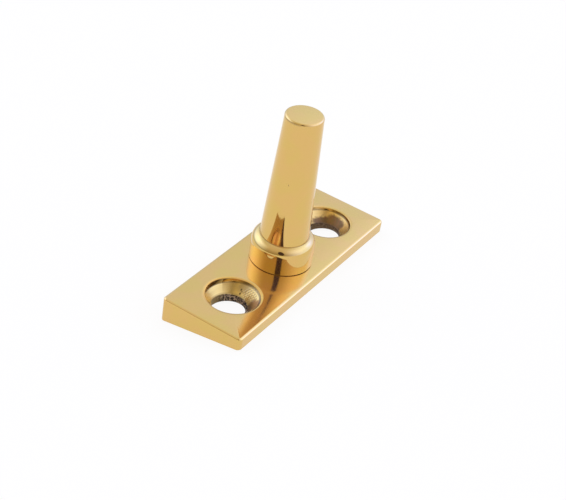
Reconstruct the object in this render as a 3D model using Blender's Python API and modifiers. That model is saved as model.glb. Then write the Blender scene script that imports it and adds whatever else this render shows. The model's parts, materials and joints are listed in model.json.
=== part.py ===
"""Casement stay pin: a peg riveted into a wedge-section base plate, which screws to a window frame.

The plate is a piece of brass bar that is thin along one long side and thick along the other, so
its top face slopes. The peg stands square to that top face and leans towards the thin side. A
hole in the stay arm drops over the peg to hold a casement window open or shut.

Units are metres. +Z is up, +X runs along the plate, and the thin side of the plate faces -Y.
The origin is on the plane of the underside, below the middle of the plate's bounding box.
"""

import math

import bpy
import bmesh
from mathutils import Matrix

# Plate
PLATE_LENGTH = 0.0484
PLATE_WIDTH = 0.0164       # across the sloping top face
THIN_SIDE_HEIGHT = 0.0025
TOP_SLOPE = math.radians(8)
EDGE_ROUND = 0.0004
CORNER_ROUND = 0.0008      # the four upright corners
HOLE_LINE = -0.0002        # the peg and screw holes lie this far off the middle of the top face

# Countersunk screw holes, bored square to the top face
SCREW_SPACING = 0.0307
SCREW_HOLE_RADIUS = 0.0031
SINK_RADIUS = 0.00485
SINK_WALL_RADIUS = 0.0046  # where the countersink's short wall meets its cone
SINK_WALL_DEPTH = 0.0007
SINK_CONE_DEPTH = 0.0024
LIP_ROUND = 0.0004         # the polished lip round the mouth

# Peg, measured along its axis from the plate's top face
PEG_HEIGHT = 0.0299
PEG_TOP_RADIUS = 0.00344
PEG_FOOT_RADIUS = 0.0045
PEG_TOP_ROUND = 0.00035
COLLAR_RADIUS = 0.0058
COLLAR_HEIGHT = 0.0054
COLLAR_ROUND = 0.0018
COLLAR_FOOT_ROUND = 0.0002

# Riveted tenon under the collar
TENON_RADIUS = 0.0025
RIVET_RADIUS = 0.0037      # of the spread head, where it is filed off
RIVET_DEPTH = 0.0011
RIVET_RECESS = 0.0002      # the head stays this far above the plane of the underside

GAP = 0.0003               # between the two pieces
OVERCUT = 0.002            # how far a cutter runs past the face it cuts
STEPS = 96                 # facets of a full turn

# Worked out from the above
HALF_PLAN = PLATE_WIDTH / 2 * math.cos(TOP_SLOPE)
MIDDLE_HEIGHT = THIN_SIDE_HEIGHT + HALF_PLAN * math.tan(TOP_SLOPE)
THICK_SIDE_HEIGHT = MIDDLE_HEIGHT + HALF_PLAN * math.tan(TOP_SLOPE)
UNDERCUT = math.tan(TOP_SLOPE)                     # how the sides, square to the top face, run in
TOP_MIDDLE_Y = -THICK_SIDE_HEIGHT * UNDERCUT / 2   # centres the plate's bounding box on Y = 0
BORE_Y = TOP_MIDDLE_Y + HOLE_LINE
BORE_HEIGHT = MIDDLE_HEIGHT + HOLE_LINE * math.tan(TOP_SLOPE)
BORE_DEPTH = BORE_HEIGHT / math.cos(TOP_SLOPE)     # top face to underside, along the peg's axis


def clear_scene():
    for scene_object in list(bpy.data.objects):
        bpy.data.objects.remove(scene_object)


def new_collection(name):
    collection = bpy.data.collections.new(name)
    bpy.context.scene.collection.children.link(collection)
    return collection


def brass(name, colour, roughness):
    material = bpy.data.materials.new(name)
    material.use_nodes = True
    shader = material.node_tree.nodes["Principled BSDF"]
    shader.inputs["Base Color"].default_value = (*colour, 1)
    shader.inputs["Metallic"].default_value = 1
    shader.inputs["Roughness"].default_value = roughness
    return material


def top_face_frame(x):
    """The place on the top face's line of holes at x, with local +Z square to the face."""
    return Matrix.Translation((x, BORE_Y, BORE_HEIGHT)) @ Matrix.Rotation(TOP_SLOPE, 4, "X")


def arc(centre_x, centre_z, radius, start, end, steps):
    """Points on an arc in the XZ plane, from one angle to the other, both in degrees."""
    points = []
    for step in range(steps + 1):
        angle = math.radians(start + (end - start) * step / steps)
        points.append((centre_x + radius * math.cos(angle), centre_z + radius * math.sin(angle)))
    return points


def turned(name, profile, collection):
    """A solid of revolution about local Z, from (radius, height) points that run from top to bottom."""
    mesh = bpy.data.meshes.new(name)
    vertices = [(radius, 0, height) for radius, height in profile]
    edges = [(i, i + 1) for i in range(len(profile) - 1)]
    mesh.from_pydata(vertices, edges, [])
    piece = bpy.data.objects.new(name, mesh)
    collection.objects.link(piece)
    screw = piece.modifiers.new("turn", "SCREW")
    screw.steps = STEPS
    screw.render_steps = STEPS
    screw.use_merge_vertices = True
    screw.merge_threshold = 0.000001
    screw.use_smooth_shade = True
    return piece


def apply_and_shade(piece):
    """Turns the piece's modifiers into its mesh, smooth but for its real edges."""
    evaluated = piece.evaluated_get(bpy.context.evaluated_depsgraph_get())
    mesh = bpy.data.meshes.new_from_object(evaluated)
    piece.modifiers.clear()
    piece.data = mesh
    mesh.name = piece.name
    mesh.shade_smooth()
    mesh.set_sharp_from_angle(angle=math.radians(30))


def hide_cutter(cutter):
    cutter.hide_render = True
    cutter.display_type = "WIRE"


def cut(piece, cutter):
    boolean = piece.modifiers.new("cut " + cutter.name, "BOOLEAN")
    boolean.operation = "DIFFERENCE"
    boolean.object = cutter


def bar(name, outline, length, collection):
    """A bar along X whose section is an outline of (y, z) points, made as a flat curve and extruded."""
    curve = bpy.data.curves.new(name, "CURVE")
    curve.dimensions = "2D"
    curve.fill_mode = "BOTH"
    curve.extrude = length / 2
    spline = curve.splines.new("POLY")
    spline.points.add(len(outline) - 1)
    for point, (y, z) in zip(spline.points, outline):
        point.co = (y, z, 0, 1)
    spline.use_cyclic_u = True
    guide = bpy.data.objects.new(name + "_outline", curve)
    collection.objects.link(guide)
    guide.matrix_world = Matrix(((0, 0, 1, 0), (1, 0, 0, 0), (0, 1, 0, 0), (0, 0, 0, 1)))
    evaluated = guide.evaluated_get(bpy.context.evaluated_depsgraph_get())
    mesh = bpy.data.meshes.new_from_object(evaluated)
    mesh.name = name
    piece = bpy.data.objects.new(name, mesh)
    piece.matrix_world = guide.matrix_world
    collection.objects.link(piece)
    bpy.data.objects.remove(guide)
    weld(mesh)
    return piece


def weld(mesh):
    """Joins a curve's loose caps to its sides and leaves only flat outline faces."""
    solid = bmesh.new()
    solid.from_mesh(mesh)
    bmesh.ops.remove_doubles(solid, verts=solid.verts, dist=0.000001)
    bmesh.ops.dissolve_limit(solid, angle_limit=math.radians(1), verts=solid.verts, edges=solid.edges)
    bmesh.ops.recalc_face_normals(solid, faces=solid.faces)
    solid.to_mesh(mesh)
    solid.free()


def wedge_outline():
    """The bar's section: level below, sloping above, with sides square to the slope."""
    front = TOP_MIDDLE_Y - HALF_PLAN
    back = TOP_MIDDLE_Y + HALF_PLAN
    return [
        (front + THIN_SIDE_HEIGHT * UNDERCUT, 0),
        (back + THICK_SIDE_HEIGHT * UNDERCUT, 0),
        (back, THICK_SIDE_HEIGHT),
        (front, THIN_SIDE_HEIGHT),
    ]


def round_upright_corners(piece):
    """Rounds the four edges where the ends of the bar meet its long sides."""
    weights = piece.data.attributes.new("bevel_weight_edge", "FLOAT", "EDGE")
    for edge in piece.data.edges:
        start, end = (piece.matrix_world @ piece.data.vertices[i].co for i in edge.vertices)
        along = (end - start).normalized()
        if abs(along.z) > 0.5:
            weights.data[edge.index].value = 1
    bevel = piece.modifiers.new("upright corners", "BEVEL")
    bevel.limit_method = "WEIGHT"
    bevel.width = CORNER_ROUND
    bevel.segments = 4


def round_edges(piece):
    """Rounds the edges round the top face and the underside."""
    bevel = piece.modifiers.new("edges", "BEVEL")
    bevel.limit_method = "ANGLE"
    bevel.angle_limit = math.radians(40)
    bevel.width = EDGE_ROUND
    bevel.segments = 3


def screw_hole_cutter(name, x, collection):
    """The space of one screw hole: rounded lip, short wall, cone, and the hole through the plate."""
    bottom = -BORE_DEPTH - OVERCUT
    lip = arc(SINK_RADIUS + LIP_ROUND, -LIP_ROUND, LIP_ROUND, 90, 180, 4)
    profile = [(0, OVERCUT), (SINK_RADIUS + LIP_ROUND, OVERCUT)]
    profile += lip
    profile += [(SINK_WALL_RADIUS, -SINK_WALL_DEPTH), (SCREW_HOLE_RADIUS, -SINK_CONE_DEPTH)]
    profile += [(SCREW_HOLE_RADIUS, bottom), (0, bottom)]
    cutter = turned(name, profile, collection)
    cutter.matrix_world = top_face_frame(x)
    hide_cutter(cutter)
    return cutter


def rivet_profile(clearance, bottom):
    """The tenon and its spread head, from below the collar down to a given depth."""
    head_slope = (RIVET_RADIUS - TENON_RADIUS) / RIVET_DEPTH
    neck = -BORE_DEPTH + RIVET_DEPTH
    end_radius = TENON_RADIUS + (neck - bottom) * head_slope
    return [
        (TENON_RADIUS + clearance, neck),
        (end_radius + clearance, bottom),
        (0, bottom),
    ]


def tenon_hole_cutter(collection):
    """The space for the riveted tenon: a hole through the plate, countersunk from below."""
    profile = [(0, OVERCUT), (TENON_RADIUS + GAP, OVERCUT)]
    profile += rivet_profile(GAP, -BORE_DEPTH - OVERCUT)
    cutter = turned("tenon_hole_cutter", profile, collection)
    cutter.matrix_world = top_face_frame(0)
    hide_cutter(cutter)
    return cutter


def make_base_plate(parts, cutters):
    plate = bar("base_plate", wedge_outline(), PLATE_LENGTH, parts)
    round_upright_corners(plate)
    round_edges(plate)
    for side, x in (("left", -SCREW_SPACING / 2), ("right", SCREW_SPACING / 2)):
        cut(plate, screw_hole_cutter(side + "_screw_hole_cutter", x, cutters))
    cut(plate, tenon_hole_cutter(cutters))
    apply_and_shade(plate)
    plate.data.materials.clear()
    plate.data.materials.append(brass("polished_bar_brass", (0.72, 0.52, 0.22), 0.12))
    return plate


def peg_profile():
    """Spigot, collar and tenon in one outline, from the top of the peg to the end of the tenon."""
    profile = [(0, PEG_HEIGHT)]
    profile += arc(PEG_TOP_RADIUS - PEG_TOP_ROUND, PEG_HEIGHT - PEG_TOP_ROUND, PEG_TOP_ROUND, 90, 0, 5)
    shoulder_x = COLLAR_RADIUS - COLLAR_ROUND
    crest = math.degrees(math.acos((PEG_FOOT_RADIUS - shoulder_x) / COLLAR_ROUND))
    shoulder_z = COLLAR_HEIGHT - COLLAR_ROUND * math.sin(math.radians(crest))
    profile += arc(shoulder_x, shoulder_z, COLLAR_ROUND, crest, 0, 8)
    foot_z = GAP + COLLAR_FOOT_ROUND
    profile += arc(COLLAR_RADIUS - COLLAR_FOOT_ROUND, foot_z, COLLAR_FOOT_ROUND, 0, -90, 3)
    profile += [(TENON_RADIUS, GAP)]
    profile += rivet_profile(0, -BORE_DEPTH - OVERCUT)
    return profile


def filing_block(cutters):
    """A block under the plate whose top face files the rivet's head off level."""
    bpy.ops.mesh.primitive_cube_add(size=1)
    block = bpy.context.object
    block.name = "filing_block"
    height = 2 * OVERCUT
    width = 6 * RIVET_RADIUS
    block.data.transform(Matrix.Diagonal((width, width, height, 1)))
    block.location = (0, 0, RIVET_RECESS - height / 2)
    for collection in list(block.users_collection):
        collection.objects.unlink(block)
    cutters.objects.link(block)
    hide_cutter(block)
    return block


def make_peg(parts, cutters):
    peg = turned("peg", peg_profile(), parts)
    peg.matrix_world = top_face_frame(0)
    cut(peg, filing_block(cutters))
    apply_and_shade(peg)
    peg.data.materials.clear()
    peg.data.materials.append(brass("polished_turned_brass", (0.72, 0.52, 0.22), 0.08))
    return peg


clear_scene()
part_collection = new_collection("casement_stay_pin")
cutter_collection = new_collection("cutters")
make_base_plate(part_collection, cutter_collection)
make_peg(part_collection, cutter_collection)
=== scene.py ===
import json
import math
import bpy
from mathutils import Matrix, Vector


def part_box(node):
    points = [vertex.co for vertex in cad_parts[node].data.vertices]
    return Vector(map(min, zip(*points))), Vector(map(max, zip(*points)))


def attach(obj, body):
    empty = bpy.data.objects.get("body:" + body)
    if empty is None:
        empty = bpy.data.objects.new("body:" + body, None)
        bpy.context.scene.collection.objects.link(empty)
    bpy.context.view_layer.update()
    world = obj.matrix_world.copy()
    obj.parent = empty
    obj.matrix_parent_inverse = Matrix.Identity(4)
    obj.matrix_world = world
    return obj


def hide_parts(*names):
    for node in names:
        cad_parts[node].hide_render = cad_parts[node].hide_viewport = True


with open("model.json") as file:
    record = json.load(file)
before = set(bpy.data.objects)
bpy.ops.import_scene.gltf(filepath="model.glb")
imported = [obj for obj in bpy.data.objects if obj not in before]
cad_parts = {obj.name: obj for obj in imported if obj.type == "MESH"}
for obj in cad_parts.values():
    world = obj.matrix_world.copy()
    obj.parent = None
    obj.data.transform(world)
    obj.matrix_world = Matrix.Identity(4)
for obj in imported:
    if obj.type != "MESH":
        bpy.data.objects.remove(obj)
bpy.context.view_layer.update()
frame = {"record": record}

from types import SimpleNamespace

import bmesh
import bpy
from mathutils import Matrix, Vector

MM = 0.001

# The design's places, from the frame. The peg's end face gives the peg's axis, which is square to the
# plate's top face.
MOUNTS = {mount["name"]: mount for mount in frame["record"]["mounts"]}
PEG_AXIS = Vector(MOUNTS["peg_end"]["axis"]).normalized()
PEG_END = Vector(MOUNTS["peg_end"]["pos_m"])
PLATE_LOW, PLATE_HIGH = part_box("base_plate")
OPENINGS = frame["record"]["physics"]["openings"]
HOLE_XS = [sum(corner[0] for corner in opening["box_m"]) / 2 for opening in OPENINGS]

# Sizes that are the CAD's
PEG_HEIGHT = 29.9 * MM
PEG_TOP_RADIUS = 3.44 * MM
PEG_FOOT_RADIUS = 4.5 * MM
COLLAR_RADIUS = 5.8 * MM
COLLAR_HEIGHT = 5.4 * MM
COLLAR_ROUND = 1.8 * MM
TENON_RADIUS = 2.5 * MM
RIVET_RADIUS = 3.7 * MM
RIVET_DEPTH = 1.1 * MM
PLATE_WIDTH = 16.4 * MM
PLATE_MIDDLE = 0.202 * MM  # how far the middle of the top face is behind the line of holes
CORNER_ROUND = 0.8 * MM
HOLE_RADIUS = 3.1 * MM

# Peg's fine shape
PEG_TOP_ROUND = 0.38 * MM
COLLAR_FOOT_GAP = 0.05 * MM
COLLAR_FOOT_ROUND = 0.12 * MM
TENON_GAP = 0.1 * MM
RIVET_STOCK = 0.5 * MM  # stands proud until the rivet is filed off
RIVET_RECESS = 0.1 * MM

# Plate's fine shape: the buffed crown of its top face, then the roundings of its edges
FRONT_DROP = 0.15 * MM
BACK_DROP = 0.03 * MM
CROWN_WIDTH = 4.3 * MM
CROWN_POWER = 2.4
LONG_EDGE_REACH = 0.6 * MM
LONG_EDGE_ROUND = 0.33 * MM
END_EDGE_ROUND = 0.34 * MM
BOTTOM_EDGE_ROUND = 0.12 * MM
BACK_BOTTOM_ROUND = 0.44 * MM

# Screw holes' fine shape. The tool has left the countersinks a hair larger than the CAD's.
SINK_RADIUS = 4.9 * MM
SINK_WALL_RADIUS = 4.72 * MM
LIP_REACH = 0.6 * MM
LIP_DROP = 0.1 * MM
LIP_EDGE = 0.04 * MM
LIP_EDGE_START = 75  # degrees, where the dished lip runs into the rounding of the mouth
HOLE_FOOT_RADIUS = 3.0 * MM

# Fineness of the meshes
TURN_STEPS = 256
CORNER_STEPS = 12
CROWN_STEPS = 12
EDGE_STEPS = 10
LIP_STEPS = 12
LIP_EDGE_STEPS = 5
PEG_TOP_STEPS = 12
COLLAR_STEPS = 24
COLLAR_FOOT_STEPS = 6
OVERCUT = 2 * MM
SHARP_ANGLE = math.radians(32)

# The screw holes were drilled a little off square: centre in the top face, sideways lean for each unit of
# depth, depth of the step's wall and tilt of its lower edge, and depth of the cone
NEAR_HOLE = {
    "centre": (HOLE_XS[0] + 0.1 * MM, -0.15 * MM),
    "lean": (-0.04, 0.17),
    "wall": 0.7 * MM,
    "tilt": (-0.05, 0.08),
    "cone": 2.6 * MM,
}
FAR_HOLE = {
    "centre": (HOLE_XS[1], 0),
    "lean": (0.08, 0),
    "wall": 0.42 * MM,
    "tilt": (0.01, 0),
    "cone": 2.8 * MM,
}
SCREW_HOLES = (NEAR_HOLE, FAR_HOLE)

SLOPE = math.atan2(-PEG_AXIS.y, PEG_AXIS.z)
BORE = PEG_END - PEG_AXIS * PEG_HEIGHT
BORE_DEPTH = BORE.z / math.cos(SLOPE)
SEAT = Matrix.Translation(BORE) @ Matrix.Rotation(SLOPE, 4, "X")
ROOT = "root"


def link(name, mesh):
    piece = bpy.data.objects.new(name, mesh)
    bpy.context.scene.collection.objects.link(piece)
    return piece


def arc(centre_x, centre_z, radius, start, end, steps):
    """Points on an arc, from one angle to another in degrees."""
    points = []
    for step in range(steps + 1):
        angle = math.radians(start + (end - start) * step / steps)
        points.append((centre_x + radius * math.cos(angle), centre_z + radius * math.sin(angle)))
    return points


def turned_mesh(name, profile):
    """Closed solid of revolution about local Z, from (radius, height) points that run from top to bottom."""
    solid = bmesh.new()
    top = solid.verts.new((0, 0, profile[0][1]))
    bottom = solid.verts.new((0, 0, profile[-1][1]))
    rings = []
    for radius, height in profile[1:-1]:
        ring = []
        for step in range(TURN_STEPS):
            angle = 2 * math.pi * step / TURN_STEPS
            ring.append(solid.verts.new((radius * math.cos(angle), radius * math.sin(angle), height)))
        rings.append(ring)
    for step in range(TURN_STEPS):
        after = (step + 1) % TURN_STEPS
        solid.faces.new((top, rings[0][step], rings[0][after]))
        solid.faces.new((bottom, rings[-1][after], rings[-1][step]))
        for upper, lower in zip(rings, rings[1:]):
            solid.faces.new((upper[step], lower[step], lower[after], upper[after]))
    mesh = bpy.data.meshes.new(name)
    solid.to_mesh(mesh)
    solid.free()
    return mesh


def outline_points():
    """Corner centres and outward directions round the plate's rounded rectangle, in the top face's frame."""
    half_length = (PLATE_HIGH.x - PLATE_LOW.x) / 2
    front = PLATE_MIDDLE - PLATE_WIDTH / 2
    back = PLATE_MIDDLE + PLATE_WIDTH / 2
    corners = (
        (half_length, back, 0),
        (-half_length, back, 90),
        (-half_length, front, 180),
        (half_length, front, 270),
    )
    points = []
    for corner_x, corner_y, start in corners:
        centre_x = corner_x - math.copysign(CORNER_ROUND, corner_x)
        centre_y = corner_y - math.copysign(CORNER_ROUND, corner_y)
        for step in range(CORNER_STEPS + 1):
            angle = math.radians(start + 90 * step / CORNER_STEPS)
            points.append((centre_x, centre_y, math.cos(angle), math.sin(angle)))
    return points


def edge_reach(across_x, across_y):
    """How far in from the side the edge rounding starts."""
    return END_EDGE_ROUND * across_x ** 2 + LONG_EDGE_REACH * across_y ** 2


def edge_drop(across_x, across_y):
    """How far down the side the edge rounding ends."""
    return END_EDGE_ROUND * across_x ** 2 + LONG_EDGE_ROUND * across_y ** 2


def crown_drop(centre_y):
    """How far buffing has lowered the top face at its edge, which is most along the front."""
    return FRONT_DROP if centre_y < 0 else BACK_DROP


def crown_vertex(solid, point, inset):
    """A point of the top face that far in from the edge rounding."""
    centre_x, centre_y, across_x, across_y = point
    start = CORNER_ROUND - edge_reach(across_x, across_y)
    x = centre_x + start * across_x - math.copysign(inset, centre_x)
    y = centre_y + start * across_y - math.copysign(inset, centre_y)
    return solid.verts.new((x, y, -crown_drop(centre_y) * (1 - inset / CROWN_WIDTH) ** CROWN_POWER))


def upper_vertex(solid, point, angle):
    """A point of the top edge's rounding, at that angle from the top face."""
    centre_x, centre_y, across_x, across_y = point
    reach = CORNER_ROUND - edge_reach(across_x, across_y) * (1 - math.sin(angle))
    drop = crown_drop(centre_y) + edge_drop(across_x, across_y) * (1 - math.cos(angle))
    return solid.verts.new((centre_x + reach * across_x, centre_y + reach * across_y, -drop))


def lower_vertex(solid, point, angle):
    """A point of the bottom edge's rounding, at that angle from the underside."""
    centre_x, centre_y, across_x, across_y = point
    edge = BOTTOM_EDGE_ROUND + (BACK_BOTTOM_ROUND - BOTTOM_EDGE_ROUND) * max(across_y, 0) ** 2
    reach = CORNER_ROUND - edge * (1 - math.sin(angle))
    x = centre_x + reach * across_x
    y = centre_y + reach * across_y
    depth = (BORE.z + y * math.sin(SLOPE)) / math.cos(SLOPE)
    return solid.verts.new((x, y, edge * (1 - math.cos(angle)) - depth))


def plate_body_mesh():
    """The wedge bar, as rings round its outline, from the crown of the top face down to the underside."""
    outline = outline_points()
    solid = bmesh.new()
    rings = []
    for place in range(CROWN_STEPS, 0, -1):
        rings.append([crown_vertex(solid, point, CROWN_WIDTH * place / CROWN_STEPS) for point in outline])
    angles = [math.radians(90 * step / EDGE_STEPS) for step in range(EDGE_STEPS + 1)]
    for angle in angles:
        rings.append([upper_vertex(solid, point, angle) for point in outline])
    for angle in reversed(angles):
        rings.append([lower_vertex(solid, point, angle) for point in outline])
    count = len(outline)
    for upper, lower in zip(rings, rings[1:]):
        for i in range(count):
            j = (i + 1) % count
            solid.faces.new((upper[i], lower[i], lower[j], upper[j]))
    solid.faces.new(rings[0])
    solid.faces.new(reversed(rings[-1]))
    mesh = bpy.data.meshes.new("base_plate_fine")
    solid.to_mesh(mesh)
    solid.free()
    return mesh


def shade(piece):
    piece.data.shade_smooth()
    piece.data.set_sharp_from_angle(angle=SHARP_ANGLE)
    weighted = piece.modifiers.new("flat faces stay flat", "WEIGHTED_NORMAL")
    weighted.keep_sharp = True


def cut(piece, mesh):
    """Takes the mesh's solid out of the piece."""
    cutter = link("cutter", mesh)
    boolean = piece.modifiers.new("cut", "BOOLEAN")
    boolean.operation = "DIFFERENCE"
    boolean.solver = "EXACT"
    boolean.object = cutter
    bpy.context.view_layer.update()
    evaluated = piece.evaluated_get(bpy.context.evaluated_depsgraph_get())
    mesh = bpy.data.meshes.new_from_object(evaluated)
    piece.modifiers.clear()
    piece.data = mesh
    bpy.data.objects.remove(cutter)


def screw_hole_mesh(hole):
    """The cutter of a screw hole: its dished lip, the rounded mouth, a short wall, the cone and the hole."""
    foot = -BORE_DEPTH - OVERCUT
    edge_radius = SINK_RADIUS + LIP_EDGE
    profile = [(0, OVERCUT), (SINK_RADIUS + LIP_REACH, OVERCUT)]
    for step in range(LIP_STEPS + 1):
        dish = step / LIP_STEPS
        profile.append((edge_radius + (LIP_REACH - LIP_EDGE) * (1 - dish), -LIP_DROP * dish ** 2))
    profile += arc(edge_radius, -LIP_DROP - LIP_EDGE, LIP_EDGE, LIP_EDGE_START, 180, LIP_EDGE_STEPS)
    profile += [(SINK_WALL_RADIUS, -hole["wall"]), (HOLE_RADIUS, -hole["cone"])]
    profile += [(HOLE_FOOT_RADIUS, foot), (0, foot)]
    mesh = turned_mesh("screw_hole", profile)
    for vertex in mesh.vertices:
        place = vertex.co
        if -hole["cone"] < place.z < -LIP_DROP - 2 * LIP_EDGE:
            place.z -= hole["tilt"][0] * place.x + hole["tilt"][1] * place.y
        depth = max(0, -place.z)
        place.x += hole["centre"][0] + hole["lean"][0] * depth
        place.y += hole["centre"][1] + hole["lean"][1] * depth
    return mesh


def tenon_profile(clearance, bottom):
    """The end of the tenon, spread by riveting, down to that height and with that clearance round it."""
    neck = -BORE_DEPTH + RIVET_DEPTH
    spread = (RIVET_RADIUS - TENON_RADIUS) / RIVET_DEPTH * (neck - bottom)
    return [(TENON_RADIUS + clearance, neck), (TENON_RADIUS + spread + clearance, bottom), (0, bottom)]


def make_base_plate(face_materials):
    piece = link("base_plate_fine", plate_body_mesh())
    for hole in SCREW_HOLES:
        cut(piece, screw_hole_mesh(hole))
    tenon_hole = [(0, OVERCUT), (TENON_RADIUS + TENON_GAP, OVERCUT)]
    tenon_hole += tenon_profile(TENON_GAP, -BORE_DEPTH - OVERCUT)
    cut(piece, turned_mesh("tenon_hole", tenon_hole))
    for material in face_materials:
        piece.data.materials.append(material)
    for face in piece.data.polygons:
        face.material_index = plate_material_index(face)
    piece.data.transform(SEAT)
    shade(piece)
    return piece


def plate_material_index(face):
    """0 on the polished outside, 1 in the screw holes, 2 on the underside and round the tenon."""
    below_top = face.center.z < -LIP_DROP
    from_screw = min(math.dist(face.center[:2], hole["centre"]) for hole in SCREW_HOLES)
    if below_top and from_screw < SINK_RADIUS + LIP_EDGE:
        return 1
    round_tenon = below_top and math.hypot(face.center.x, face.center.y) < 2 * TENON_RADIUS
    underneath = face.normal.z < -0.9
    return 2 if underneath or round_tenon else 0


def make_peg(material):
    top_radius = PEG_TOP_RADIUS - PEG_TOP_ROUND
    profile = [(0, PEG_HEIGHT)]
    profile += arc(top_radius, PEG_HEIGHT - PEG_TOP_ROUND, PEG_TOP_ROUND, 90, 0, PEG_TOP_STEPS)
    shoulder = COLLAR_RADIUS - COLLAR_ROUND
    crest = math.degrees(math.acos((PEG_FOOT_RADIUS - shoulder) / COLLAR_ROUND))
    shoulder_z = COLLAR_HEIGHT - COLLAR_ROUND * math.sin(math.radians(crest))
    profile += arc(shoulder, shoulder_z, COLLAR_ROUND, crest, 0, COLLAR_STEPS)
    foot_radius = COLLAR_RADIUS - COLLAR_FOOT_ROUND
    foot_z = COLLAR_FOOT_GAP + COLLAR_FOOT_ROUND
    profile += arc(foot_radius, foot_z, COLLAR_FOOT_ROUND, 0, -90, COLLAR_FOOT_STEPS)
    profile += [(TENON_RADIUS, COLLAR_FOOT_GAP)]
    profile += tenon_profile(0, -BORE_DEPTH - RIVET_STOCK)
    piece = link("peg_fine", turned_mesh("peg_fine", profile))
    piece.data.transform(SEAT)
    file_rivet(piece)
    piece.data.materials.append(material)
    shade(piece)
    return piece


def file_rivet(piece):
    """Files the rivet's head off level, just above the plane of the underside."""
    solid = bmesh.new()
    solid.from_mesh(piece.data)
    bottom = bmesh.ops.bisect_plane(
        solid,
        geom=solid.verts[:] + solid.edges[:] + solid.faces[:],
        plane_co=(0, 0, RIVET_RECESS),
        plane_no=(0, 0, -1),
        clear_outer=True,
    )
    rim = [part for part in bottom["geom_cut"] if isinstance(part, bmesh.types.BMEdge)]
    bmesh.ops.contextual_create(solid, geom=rim)
    bmesh.ops.recalc_face_normals(solid, faces=solid.faces)
    solid.to_mesh(piece.data)
    solid.free()


def node(tree, kind, sockets=None, **settings):
    """Adds a node. Each of sockets is a value, or another node's output to link."""
    made = tree.nodes.new(kind)
    for name, value in settings.items():
        setattr(made, name, value)
    for socket, value in (sockets or {}).items():
        if isinstance(value, bpy.types.NodeSocket):
            tree.links.new(value, made.inputs[socket])
        else:
            made.inputs[socket].default_value = value
    return made


def maths(tree, operation, *values):
    return node(tree, "ShaderNodeMath", dict(enumerate(values)), operation=operation).outputs[0]


def vectors(tree, operation, *values):
    made = node(tree, "ShaderNodeVectorMath", dict(enumerate(values)), operation=operation)
    return made.outputs["Value" if operation in ("LENGTH", "DOT_PRODUCT") else "Vector"]


def scaled(tree, vector, factor):
    made = node(tree, "ShaderNodeVectorMath", {0: vector, "Scale": factor}, operation="SCALE")
    return made.outputs["Vector"]


def step_between(tree, value, low, high):
    """0 at low, 1 at high, and a smooth step between them. Low may be the higher number."""
    flip = low > high
    sockets = {"Value": value, "From Min": min(low, high), "From Max": max(low, high)}
    sockets.update({"To Min": float(flip), "To Max": float(not flip)})
    return node(tree, "ShaderNodeMapRange", sockets, interpolation_type="SMOOTHSTEP").outputs["Result"]


def ranged(tree, value, low, high, to_low, to_high):
    sockets = {"Value": value, "From Min": low, "From Max": high, "To Min": to_low, "To Max": to_high}
    return node(tree, "ShaderNodeMapRange", sockets).outputs["Result"]


def within(tree, value, low, high, edge):
    rising = step_between(tree, value, low - edge / 2, low + edge / 2)
    falling = step_between(tree, value, high + edge / 2, high - edge / 2)
    return maths(tree, "MULTIPLY", rising, falling)


def mix_colours(tree, factor, first, second, blend="MIX"):
    sockets = {"Factor": factor, 6: first, 7: second}
    return node(tree, "ShaderNodeMix", sockets, data_type="RGBA", blend_type=blend).outputs[2]


def mix_values(tree, factor, first, second):
    return node(tree, "ShaderNodeMix", {"Factor": factor, 2: first, 3: second}).outputs[0]


def noise(tree, vector, scale, detail=2):
    sockets = {"Vector": vector, "Scale": scale, "Detail": detail}
    return node(tree, "ShaderNodeTexNoise", sockets).outputs["Fac"]


def bump(tree, height, depth, under=None):
    """Relief from a height of 0 to 1 over that depth in metres, on top of the relief under it."""
    sockets = {"Height": height, "Distance": depth, "Strength": 1}
    if under is not None:
        sockets["Normal"] = under
    return node(tree, "ShaderNodeBump", sockets).outputs["Normal"]


def seat_place(tree):
    """Millimetres from where the peg's axis meets the top face: X along the plate, Z up the peg."""
    place = node(tree, "ShaderNodeTexCoord").outputs["Object"]
    sockets = {"Vector": place, "Location": BORE, "Rotation": (SLOPE, 0, 0), "Scale": (MM, MM, MM)}
    return node(tree, "ShaderNodeMapping", sockets, vector_type="TEXTURE").outputs["Vector"]


def patch(tree, place, centre, size, core=0.4):
    """A soft spot, 1 in its core and 0 outside an ellipsoid of that size, in millimetres."""
    sockets = {"Vector": place, "Location": centre, "Scale": size}
    local = node(tree, "ShaderNodeMapping", sockets, vector_type="TEXTURE").outputs["Vector"]
    return step_between(tree, vectors(tree, "LENGTH", local), 1, core)


def either(tree, *masks):
    """The higher of the masks, place by place."""
    whole = masks[0]
    for mask in masks[1:]:
        whole = maths(tree, "MAXIMUM", whole, mask)
    return whole


def stretched(tree, vector, *factors):
    return vectors(tree, "MULTIPLY", vector, factors)


def wander(tree, place, scale):
    """A vector that wanders round zero, to fray the edges of stains."""
    colour = node(tree, "ShaderNodeTexNoise", {"Vector": place, "Scale": scale, "Detail": 3}).outputs["Color"]
    return vectors(tree, "SUBTRACT", colour, (0.5, 0.5, 0.5))


# The metal's colour face on: plain, with a little more zinc and with a little more copper
BRASS = (0.70, 0.465, 0.143, 1)
GREEN_BRASS = (0.69, 0.475, 0.138, 1)
RED_BRASS = (0.715, 0.457, 0.155, 1)

# Painted highlights that lighten the plate's top face and the peg's end face, and painted shade that darkens
# the screw holes' lips, each by multiplying the colour under it
BRIGHTER = (1.11, 1.1, 1.1, 1)
BRIGHTEST = (1.25, 1.25, 1.23, 1)
LIP_SHADE = (1, 0.86, 0.6, 1)
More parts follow.
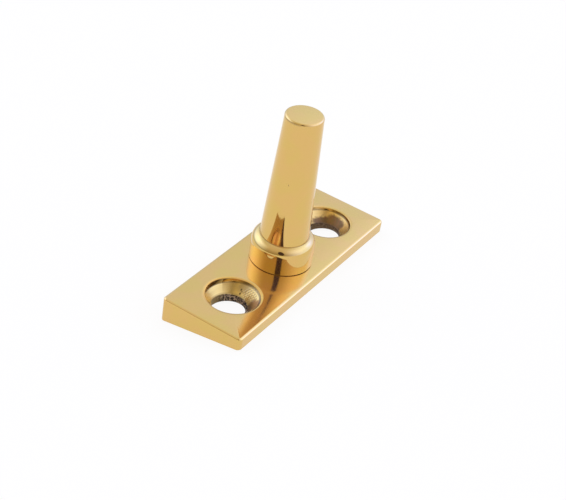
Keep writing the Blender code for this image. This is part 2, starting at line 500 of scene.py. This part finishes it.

# The freshly cut metal of the countersinks, the far one's painted paler as a painted highlight; a coppery
# tint painted as reflected light; worn metal, tarnish and grime; and painted shade, alone on the step walls
# and mixed with the tarnish and grime in the holes and creases
OLIVE_BRASS = (0.83, 0.58, 0.165, 1)
PALE_BRASS = (0.94, 0.64, 0.185, 1)
WARM_BRASS = (0.62, 0.36, 0.09, 1)
DULL_BRASS = (0.42, 0.29, 0.13, 1)
COPPERY_REFLECTION_TINT = (0.8, 0.4, 0.13, 1)
WALL_SHADE = (0.16, 0.085, 0.02, 1)
GREY_TARNISH_AND_SHADE = (0.36, 0.26, 0.17, 1)
OLIVE_TARNISH_AND_SHADE = (0.24, 0.16, 0.05, 1)
RED_TARNISH = (0.38, 0.18, 0.06, 1)
BROWN_TARNISH_AND_SHADE = (0.13, 0.08, 0.045, 1)
PURPLE_TARNISH = (0.18, 0.08, 0.05, 1)
BLACK_GRIME_AND_SHADE = (0.03, 0.022, 0.016, 1)

# The lacquer's strength outside and in the screw holes, and its roughness
LACQUER_HAZE = 0.5
RECESS_HAZE = 0.05
LACQUER_ROUGHNESS = 0.9

# How close the tool's marks lie on the cones: rings, and chatter round the cone and up it
RING_FINENESS = 6
CHATTER_ACROSS = 48
CHATTER_UP = 11


def metal(name):
    material = bpy.data.materials.new(name)
    material.use_nodes = True
    return material, material.node_tree, material.node_tree.nodes["Principled BSDF"]


def finish_metal(tree, shader, colour, roughness, normal, haze=LACQUER_HAZE):
    """A lacquered metal. The lacquer's haze lays a faint white veil over the darkest reflections."""
    shader.inputs["Metallic"].default_value = 1
    shader.inputs["Coat Weight"].default_value = haze
    shader.inputs["Coat Roughness"].default_value = LACQUER_ROUGHNESS
    for socket, output in (("Base Color", colour), ("Roughness", roughness), ("Normal", normal)):
        tree.links.new(output, shader.inputs[socket])


def cast_colour(tree, place):
    """The brass's own colour, which drifts a little over a few millimetres."""
    drift = step_between(tree, noise(tree, place, 0.22), 0.38, 0.62)
    cloud = ranged(tree, noise(tree, place, 0.9), 0.3, 0.7, 0.0, 0.5)
    colour = mix_colours(tree, drift, GREEN_BRASS, RED_BRASS)
    return mix_colours(tree, cloud, colour, BRASS)


def hole_place(tree, place):
    """A place from the axis of its nearer screw hole, and 0 at the near hole or 1 at the far hole."""
    axes = node(tree, "ShaderNodeSeparateXYZ", {0: place}).outputs
    far = step_between(tree, axes["X"], -1, 1)
    near_axis, far_axis = (
        vectors(
            tree,
            "ADD",
            [value / MM for value in hole["centre"]] + [0],
            scaled(tree, [-hole["lean"][0], -hole["lean"][1], 0], axes["Z"]),
        )
        for hole in SCREW_HOLES
    )
    return vectors(tree, "SUBTRACT", place, mix_colours(tree, far, near_axis, far_axis)), far


def plate_brass():
    material, tree, shader = metal("plate_brass")
    place = seat_place(tree)
    from_hole, far = hole_place(tree, place)
    radius = vectors(tree, "LENGTH", stretched(tree, from_hole, 1, 1, 0))
    rim = SINK_RADIUS / MM
    # Painted shade: the lips round the screw holes are darkened, less at the far hole
    lip = step_between(tree, radius, rim + 0.5, rim + 0.2)
    lip = maths(tree, "MULTIPLY", lip, ranged(tree, far, 0, 1, 1, 0.3))
    polish = noise(tree, stretched(tree, place, 0.5, 6, 6), 1.2, detail=4)
    roughness = ranged(tree, polish, 0.3, 0.7, 0.09, 0.14)
    normal = bump(tree, noise(tree, place, 0.28, detail=1), 6e-6)
    normal = bump(tree, noise(tree, stretched(tree, place, 0.4, 9, 9), 1.5), 2.5e-7, normal)
    # Painted highlight: the top face's colour is lightened
    on_top = step_between(tree, node(tree, "ShaderNodeSeparateXYZ", {0: place}).outputs["Z"], -0.5, -0.3)
    colour = mix_colours(tree, on_top, cast_colour(tree, place), BRIGHTER, "MULTIPLY")
    colour = mix_colours(tree, lip, colour, LIP_SHADE, "MULTIPLY")
    finish_metal(tree, shader, colour, roughness, normal)
    return material


def ground_brass():
    """The underside, rubbed flat on an abrasive belt and never polished."""
    material, tree, shader = metal("ground_brass")
    place = seat_place(tree)
    grain = noise(tree, stretched(tree, place, 0.25, 7, 1), 3, detail=6)
    colour = mix_colours(tree, ranged(tree, grain, 0.35, 0.65, 0.1, 0.6), BRASS, DULL_BRASS)
    normal = bump(tree, grain, 6e-6)
    finish_metal(tree, shader, colour, ranged(tree, grain, 0.3, 0.7, 0.28, 0.42), normal)
    return material


def recess_places(tree):
    """Where a point is in its screw hole: how far out from the axis, how far round from +X, and so on."""
    place = seat_place(tree)
    local, far = hole_place(tree, place)
    axes = node(tree, "ShaderNodeSeparateXYZ", {0: local}).outputs
    turn = maths(tree, "ARCTAN2", axes["Y"], axes["X"])
    return SimpleNamespace(
        place=place,
        local=local,
        blotchy=vectors(tree, "ADD", local, scaled(tree, wander(tree, place, 1.0), 1.6)),
        far=far,
        radius=vectors(tree, "LENGTH", stretched(tree, local, 1, 1, 0)),
        turn=turn,
        off_x=maths(tree, "ABSOLUTE", turn),
        high_x=step_between(tree, axes["X"], -2.5, -0.5),
    )


def recess_stain(tree, at):
    """Tarnish that has crept up the cones: one spot in the near hole, three run together in the far one."""
    near_stain = patch(tree, at.blotchy, (1.15, -3.4, -1.4), (1.8, 2.4, 2.6), 0.75)
    far_stain = either(
        tree,
        patch(tree, at.blotchy, (3.3, -0.3, -2.0), (1.9, 2.5, 2.1), 0.65),
        patch(tree, at.blotchy, (2.2, 2.4, -2.3), (1.6, 1.8, 1.0), 0.5),
        patch(tree, at.blotchy, (3.0, 1.3, -2.3), (1.5, 1.8, 1.3), 0.6),
    )
    return mix_values(tree, at.far, near_stain, far_stain)


def recess_specks(tree, at):
    """Specks of grime on the near hole's cone."""
    specks = either(
        tree,
        patch(tree, at.local, (4.05, 0.5, -1.5), (0.3, 0.2, 0.3), 0.5),
        patch(tree, at.local, (3.9, 0.2, -1.75), (0.22, 0.18, 0.25), 0.5),
        patch(tree, at.local, (3.6, 0.3, -2.05), (0.28, 0.22, 0.3), 0.5),
    )
    return maths(tree, "SUBTRACT", specks, at.far)


def chatter_marks(tree, at):
    """The crossed waves that a chattering tool left on the near hole's cone, and the zone that they fill."""
    zone = patch(tree, at.local, (3.5, -1.7, -1.2), (1.6, 2.3, 1.6), 0.6)
    zone = step_between(tree, maths(tree, "SUBTRACT", zone, at.far), 0, 1)
    across = maths(tree, "SINE", maths(tree, "MULTIPLY", at.turn, CHATTER_ACROSS))
    up = maths(tree, "SINE", maths(tree, "MULTIPLY", at.radius, CHATTER_UP))
    return maths(tree, "MULTIPLY", maths(tree, "MULTIPLY", across, up), zone), zone


def cone_colour(tree, at, ring_marks, stain):
    """Cut metal with its rings, paler in the far hole as a painted highlight, a coppery tint painted on the
    near hole's outer side as reflected light, the tarnish over it, and painted shade just above the hole.
    """
    # The far cone's cut metal is painted paler, a painted highlight
    colour = mix_colours(tree, at.far, OLIVE_BRASS, PALE_BRASS)
    # A coppery tint painted on the near cone's outer side, standing in for the orange light that the peg
    # reflects from it
    coppery_side = maths(tree, "SUBTRACT", step_between(tree, at.off_x, 2.15, 2.4), at.far)
    colour = mix_colours(tree, ranged(tree, coppery_side, 0, 1, 0, 0.9), colour, COPPERY_REFLECTION_TINT)
    colour = mix_colours(tree, ranged(tree, ring_marks, 0.3, 0.7, 0, 0.2), colour, DULL_BRASS)
    cloud = noise(tree, at.place, 1.6, detail=4)
    tarnish = mix_colours(tree, step_between(tree, cloud, 0.42, 0.6), BROWN_TARNISH_AND_SHADE, PURPLE_TARNISH)
    tarnish = mix_colours(tree, at.far, RED_TARNISH, tarnish)
    low_down = maths(tree, "SUBTRACT", step_between(tree, at.radius, 4.3, 3.5), at.far)
    tarnish = mix_colours(tree, ranged(tree, low_down, 0, 1, 0, 0.7), tarnish, BROWN_TARNISH_AND_SHADE)
    colour = mix_colours(tree, maths(tree, "MULTIPLY", stain, 0.85), colour, tarnish)
    # Painted shade: a dark brown ring just above the hole, on its +X side
    above_hole = within(tree, at.radius, HOLE_RADIUS / MM + 0.1, HOLE_RADIUS / MM + 0.32, 0.25)
    above_hole = maths(tree, "MULTIPLY", above_hole, at.high_x)
    colour = mix_colours(tree, maths(tree, "MULTIPLY", above_hole, 0.3), colour, BROWN_TARNISH_AND_SHADE)
    smudge = patch(tree, at.blotchy, (4.1, 0.2, -1.0), (1.3, 1.7, 1.2), 0.3)
    smudge = maths(tree, "SUBTRACT", smudge, at.far)
    return mix_colours(tree, ranged(tree, smudge, 0, 1, 0, 0.6), colour, DULL_BRASS)


def add_step(tree, at, colour, in_step, minus_x_side):
    """The short wall above the cone, darkened with painted shade but for its unshaded stretches, and a dark
    line of painted shade under it.
    """
    # Painted shade: the wall is dark brown except on its unshaded stretches
    unshaded_wall = either(tree, within(tree, at.turn, 0.26, 0.96, 0.4), minus_x_side)
    wall = mix_colours(tree, unshaded_wall, WALL_SHADE, WARM_BRASS)
    colour = mix_colours(tree, maths(tree, "MULTIPLY", in_step, 0.85), colour, wall)
    # Painted shade: a dark line along the crease at the foot of the wall, left off the -X side
    line = within(tree, at.radius, SINK_WALL_RADIUS / MM - 0.1, SINK_WALL_RADIUS / MM, 0.06)
    line = step_between(tree, maths(tree, "SUBTRACT", line, minus_x_side), 0, 1)
    return mix_colours(tree, maths(tree, "MULTIPLY", line, 0.6), colour, BROWN_TARNISH_AND_SHADE)


def hole_grime_and_shade(tree, at, grain):
    """What lines the holes below the cones: grime, with painted shade over it."""
    grime = mix_colours(tree, step_between(tree, grain, 0.47, 0.56), BLACK_GRIME_AND_SHADE, GREY_TARNISH_AND_SHADE)
    grime = mix_colours(tree, step_between(tree, at.turn, 0.7, 1.6), grime, OLIVE_TARNISH_AND_SHADE)
    return mix_colours(tree, maths(tree, "MULTIPLY", at.far, 0.8), grime, BROWN_TARNISH_AND_SHADE)


def countersink_brass():
    """Turned cones, stained where lacquer and polish didn't reach, with painted shade on their step walls,
    above rough holes darkened by grime and painted shade.
    """
    material, tree, shader = metal("countersink_brass")
    at = recess_places(tree)
    in_hole = step_between(tree, at.radius, HOLE_RADIUS / MM + 0.24, HOLE_RADIUS / MM + 0.04)
    in_step = step_between(tree, at.radius, SINK_WALL_RADIUS / MM - 0.03, SINK_WALL_RADIUS / MM + 0.01)
    minus_x_side = step_between(tree, at.off_x, 1.75, 2.0)
    stain = recess_stain(tree, at)
    ring_sockets = {0: maths(tree, "MULTIPLY", at.radius, RING_FINENESS), 1: at.turn, 2: at.far}
    rings = node(tree, "ShaderNodeCombineXYZ", ring_sockets).outputs[0]
    ring_marks = noise(tree, rings, 1, detail=3)
    chatter, chatter_zone = chatter_marks(tree, at)
    grain = noise(tree, at.place, 3, detail=5)

    colour = cone_colour(tree, at, ring_marks, stain)
    colour = add_step(tree, at, colour, in_step, minus_x_side)
    # Grime and painted shade in the hole, laid only on its +X side
    grimy_and_shaded = maths(tree, "MULTIPLY", in_hole, at.high_x)
    colour = mix_colours(tree, grimy_and_shaded, colour, hole_grime_and_shade(tree, at, grain))
    colour = mix_colours(tree, ranged(tree, recess_specks(tree, at), 0, 1, 0, 0.85), colour, BLACK_GRIME_AND_SHADE)
    crossed = maths(tree, "MULTIPLY", ranged(tree, chatter, -0.2, 0.8, 0, 0.75), chatter_zone)
    colour = mix_colours(tree, crossed, colour, DULL_BRASS)

    roughness = ranged(tree, ring_marks, 0.3, 0.7, 0.34, 0.42)
    roughness = mix_values(tree, stain, roughness, 0.42)
    roughness = mix_values(tree, in_step, roughness, mix_values(tree, minus_x_side, 0.14, 0.5))
    roughness = mix_values(tree, in_hole, roughness, 0.6)
    normal = bump(tree, ring_marks, 1.2e-6)
    normal = bump(tree, chatter, 3e-5, normal)
    normal = bump(tree, maths(tree, "MULTIPLY", grain, in_hole), 1e-4, normal)
    finish_metal(tree, shader, colour, roughness, normal, RECESS_HAZE)
    return material


def peg_brass():
    """Turned in a lathe: faint rings round the peg and on its end, a painted highlight on the end, painted
    shade in the crease and at the foot, a painted dark reflection on the end's rim, a nick or two.
    """
    material, tree, shader = metal("peg_brass")
    place = seat_place(tree)
    axes = node(tree, "ShaderNodeSeparateXYZ", {0: place}).outputs
    radius = vectors(tree, "LENGTH", stretched(tree, place, 1, 1, 0))
    end = PEG_HEIGHT / MM
    shoulder = COLLAR_HEIGHT / MM
    on_end = step_between(tree, axes["Z"], end - 0.04, end - 0.01)
    crease = within(tree, axes["Z"], shoulder - 0.03, shoulder + 0.05, 0.06)
    nick = patch(tree, place, (-3.78, -1.17, 17.9), (0.12, 0.12, 0.3))
    graze = patch(tree, place, (-3.72, -0.05, 15.2), (0.2, 0.14, 0.5))
    # A painted dark reflection on the left of the end's rim, darkened together with the nick and graze
    rim_dark_reflection = patch(tree, place, (-3.36, 0.78, 29.5), (2.7, 2.7, 0.14), 0.6)
    marks_and_reflection = either(tree, nick, maths(tree, "MULTIPLY", graze, 0.15), rim_dark_reflection)

    rings = node(tree, "ShaderNodeCombineXYZ", {0: radius, 1: axes["Z"]}).outputs[0]
    lathe = noise(tree, rings, 4, detail=3)
    cloud = noise(tree, place, 1.3, detail=3)
    colour = cast_colour(tree, place)
    # Painted shade: the crease at the collar's shoulder is darkened brown
    colour = mix_colours(tree, maths(tree, "MULTIPLY", crease, 0.4), colour, BROWN_TARNISH_AND_SHADE)
    colour = mix_colours(tree, maths(tree, "MULTIPLY", marks_and_reflection, 0.6), colour, DULL_BRASS)
    # Painted highlight: the end face's colour is lightened
    colour = mix_colours(tree, on_end, colour, BRIGHTEST, "MULTIPLY")
    # Painted shade: the collar's foot, where it meets the plate, is darkened brown
    below = step_between(tree, axes["Z"], 0.12, 0.04)
    colour = mix_colours(tree, below, colour, BROWN_TARNISH_AND_SHADE)
    side_roughness = ranged(tree, lathe, 0.3, 0.7, 0.045, 0.075)
    end_roughness = ranged(tree, cloud, 0.3, 0.7, 0.1, 0.17)
    roughness = mix_values(tree, on_end, side_roughness, end_roughness)
    roughness = mix_values(tree, either(tree, crease, marks_and_reflection, below), roughness, 0.4)
    normal = bump(tree, lathe, 1.5e-7)
    normal = bump(tree, maths(tree, "MULTIPLY", cloud, on_end), 4e-6, normal)
    finish_metal(tree, shader, colour, roughness, normal)
    return material


plate = make_base_plate((plate_brass(), countersink_brass(), ground_brass()))
peg = make_peg(peg_brass())
for piece, cad_node in ((plate, "base_plate"), (peg, "peg")):
    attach(piece, ROOT)
    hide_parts(cad_node)


def towards(azimuth, elevation):
    """The direction out from the object at an azimuth, from -Y towards +X, and an elevation, in degrees."""
    turn, rise = math.radians(azimuth), math.radians(elevation)
    return Vector((math.sin(turn) * math.cos(rise), -math.cos(turn) * math.cos(rise), math.sin(rise)))


# The studio, in degrees and with its lights as linear colours: a dim side behind the camera, a lit far side
# and ceiling, two large soft boxes, a small cool one, the edge of the table, and the dark camera on its stand
CAMERA_SIDE = (0.43, 0.36, 0.22, 1)
FAR_SIDE = (0.46, 0.52, 0.57, 1)
FAR_SIDE_AZIMUTH = 122
SIDES_BLEND = 0.75
CEILING = {"core": 20, "reach": 88, "light": (0.36, 0.36, 0.39)}
SOFT_BOXES = (
    {
        "azimuth": 36,
        "half": 57,
        "edge": 80,
        "low": -60,
        "high": 55,
        "rise_edge": 52,
        "light": (0.78, 1.02, 2.24),
    },
    {
        "azimuth": 185,
        "half": 37,
        "edge": 73,
        "low": 9,
        "high": 53,
        "rise_edge": 26,
        "light": (1.0, 1.32, 2.75),
    },
    {
        "azimuth": 62,
        "half": 12,
        "edge": 30,
        "low": 14,
        "high": 36,
        "rise_edge": 16,
        "light": (0.0, 0.2, 2.4),
    },
)
TABLE_EDGE = {"azimuth": -135, "half": 55, "edge": 20, "low": -9, "high": -1, "rise_edge": 4}
EDGE_LIGHT = (0.25, 0.2, 0.1, 1)
CAMERA_STAND = {"azimuth": -58.5, "height": 24.5, "half": 12, "half_rise": 22, "core": 0.8}
STAND_LIGHT = (0.07, 0.04, 0.02, 1)
BACKDROP = (1, 1, 1, 1)

FLOOR_SIZE = 3
FLOOR_COLOUR = (0.1, 0.09, 0.07, 1)
FLOOR_GLOW = 0.9

# The camera's aim, direction, distance, roll and lens
CAMERA_TARGET = Vector((0, -1.049, 5.227)) * MM
CAMERA_AZIMUTH = -57.851
CAMERA_ELEVATION = 31.595
CAMERA_DISTANCE = 240.7 * MM
CAMERA_ROLL = math.radians(1.536)
CAMERA_LENS = 84.923


def panel(tree, turn, rise, box):
    """1 inside a box of directions and 0 outside its soft edges."""
    across = maths(tree, "WRAP", maths(tree, "SUBTRACT", turn, box["azimuth"]), 180, -180)
    sideways = within(tree, across, -box["half"], box["half"], box["edge"])
    return maths(tree, "MULTIPLY", sideways, within(tree, rise, box["low"], box["high"], box["rise_edge"]))


def oval(tree, turn, rise, shape):
    """1 in the core of an ellipse of directions and 0 outside it."""
    across = maths(tree, "DIVIDE", maths(tree, "SUBTRACT", turn, shape["azimuth"]), shape["half"])
    up = maths(tree, "DIVIDE", maths(tree, "SUBTRACT", rise, shape["height"]), shape["half_rise"])
    reach = vectors(tree, "LENGTH", node(tree, "ShaderNodeCombineXYZ", {0: across, 1: up}).outputs[0])
    return step_between(tree, reach, 1, shape["core"])


def lit(tree, light, glow, colour):
    """Adds that much of a lamp's colour to the light."""
    return vectors(tree, "ADD", light, scaled(tree, colour, glow))


def make_world():
    """Surrounds the object with the studio, which the camera itself sees as a plain white backdrop."""
    world = bpy.data.worlds.new("studio")
    bpy.context.scene.world = world
    world.use_nodes = True
    tree = world.node_tree
    direction = node(tree, "ShaderNodeTexCoord").outputs["Generated"]
    axes = node(tree, "ShaderNodeSeparateXYZ", {0: direction}).outputs
    rise = maths(tree, "DEGREES", maths(tree, "ARCSINE", axes["Z"]))
    turn = maths(tree, "DEGREES", maths(tree, "ARCTAN2", axes["X"], maths(tree, "MULTIPLY", axes["Y"], -1)))
    away = vectors(tree, "DOT_PRODUCT", direction, towards(FAR_SIDE_AZIMUTH, 0))
    light = mix_colours(tree, step_between(tree, away, -SIDES_BLEND, SIDES_BLEND), CAMERA_SIDE, FAR_SIDE)
    reach, core = (math.cos(math.radians(CEILING[key])) for key in ("reach", "core"))
    light = lit(tree, light, step_between(tree, axes["Z"], reach, core), CEILING["light"])
    for box in SOFT_BOXES:
        light = lit(tree, light, panel(tree, turn, rise, box), box["light"])
    light = mix_colours(tree, panel(tree, turn, rise, TABLE_EDGE), light, EDGE_LIGHT)
    light = mix_colours(tree, oval(tree, turn, rise, CAMERA_STAND), light, STAND_LIGHT)
    studio = tree.nodes["Background"]
    tree.links.new(light, studio.inputs["Color"])
    backdrop = node(tree, "ShaderNodeBackground", {"Color": BACKDROP, "Strength": 1})
    seen = node(tree, "ShaderNodeLightPath").outputs["Is Camera Ray"]
    both = node(tree, "ShaderNodeMixShader", {0: seen, 1: studio.outputs[0], 2: backdrop.outputs[0]})
    tree.links.new(both.outputs[0], tree.nodes["World Output"].inputs["Surface"])


def make_floor():
    bpy.ops.mesh.primitive_plane_add(size=FLOOR_SIZE)
    floor = bpy.context.object
    floor.name = "floor"
    material = bpy.data.materials.new("floor_white")
    material.use_nodes = True
    shader = material.node_tree.nodes["Principled BSDF"]
    shader.inputs["Base Color"].default_value = FLOOR_COLOUR
    shader.inputs["Roughness"].default_value = 1
    shader.inputs["Specular IOR Level"].default_value = 0
    shader.inputs["Emission Color"].default_value = BACKDROP
    shader.inputs["Emission Strength"].default_value = FLOOR_GLOW
    floor.data.materials.append(material)


def make_camera():
    back = towards(CAMERA_AZIMUTH, CAMERA_ELEVATION)
    right = Vector((0, 0, 1)).cross(back).normalized()
    up = back.cross(right)
    turned_right = right * math.cos(CAMERA_ROLL) + up * math.sin(CAMERA_ROLL)
    turned_up = up * math.cos(CAMERA_ROLL) - right * math.sin(CAMERA_ROLL)
    camera = bpy.data.cameras.new("camera")
    camera.lens = CAMERA_LENS
    camera.sensor_width = 36
    camera.clip_start = 0.01
    holder = bpy.data.objects.new("camera", camera)
    bpy.context.scene.collection.objects.link(holder)
    rotation = Matrix((turned_right, turned_up, back)).transposed().to_4x4()
    holder.matrix_world = Matrix.Translation(CAMERA_TARGET + back * CAMERA_DISTANCE) @ rotation
    bpy.context.scene.camera = holder


make_floor()
make_world()
make_camera()
bpy.context.scene.view_settings.view_transform = "Standard"
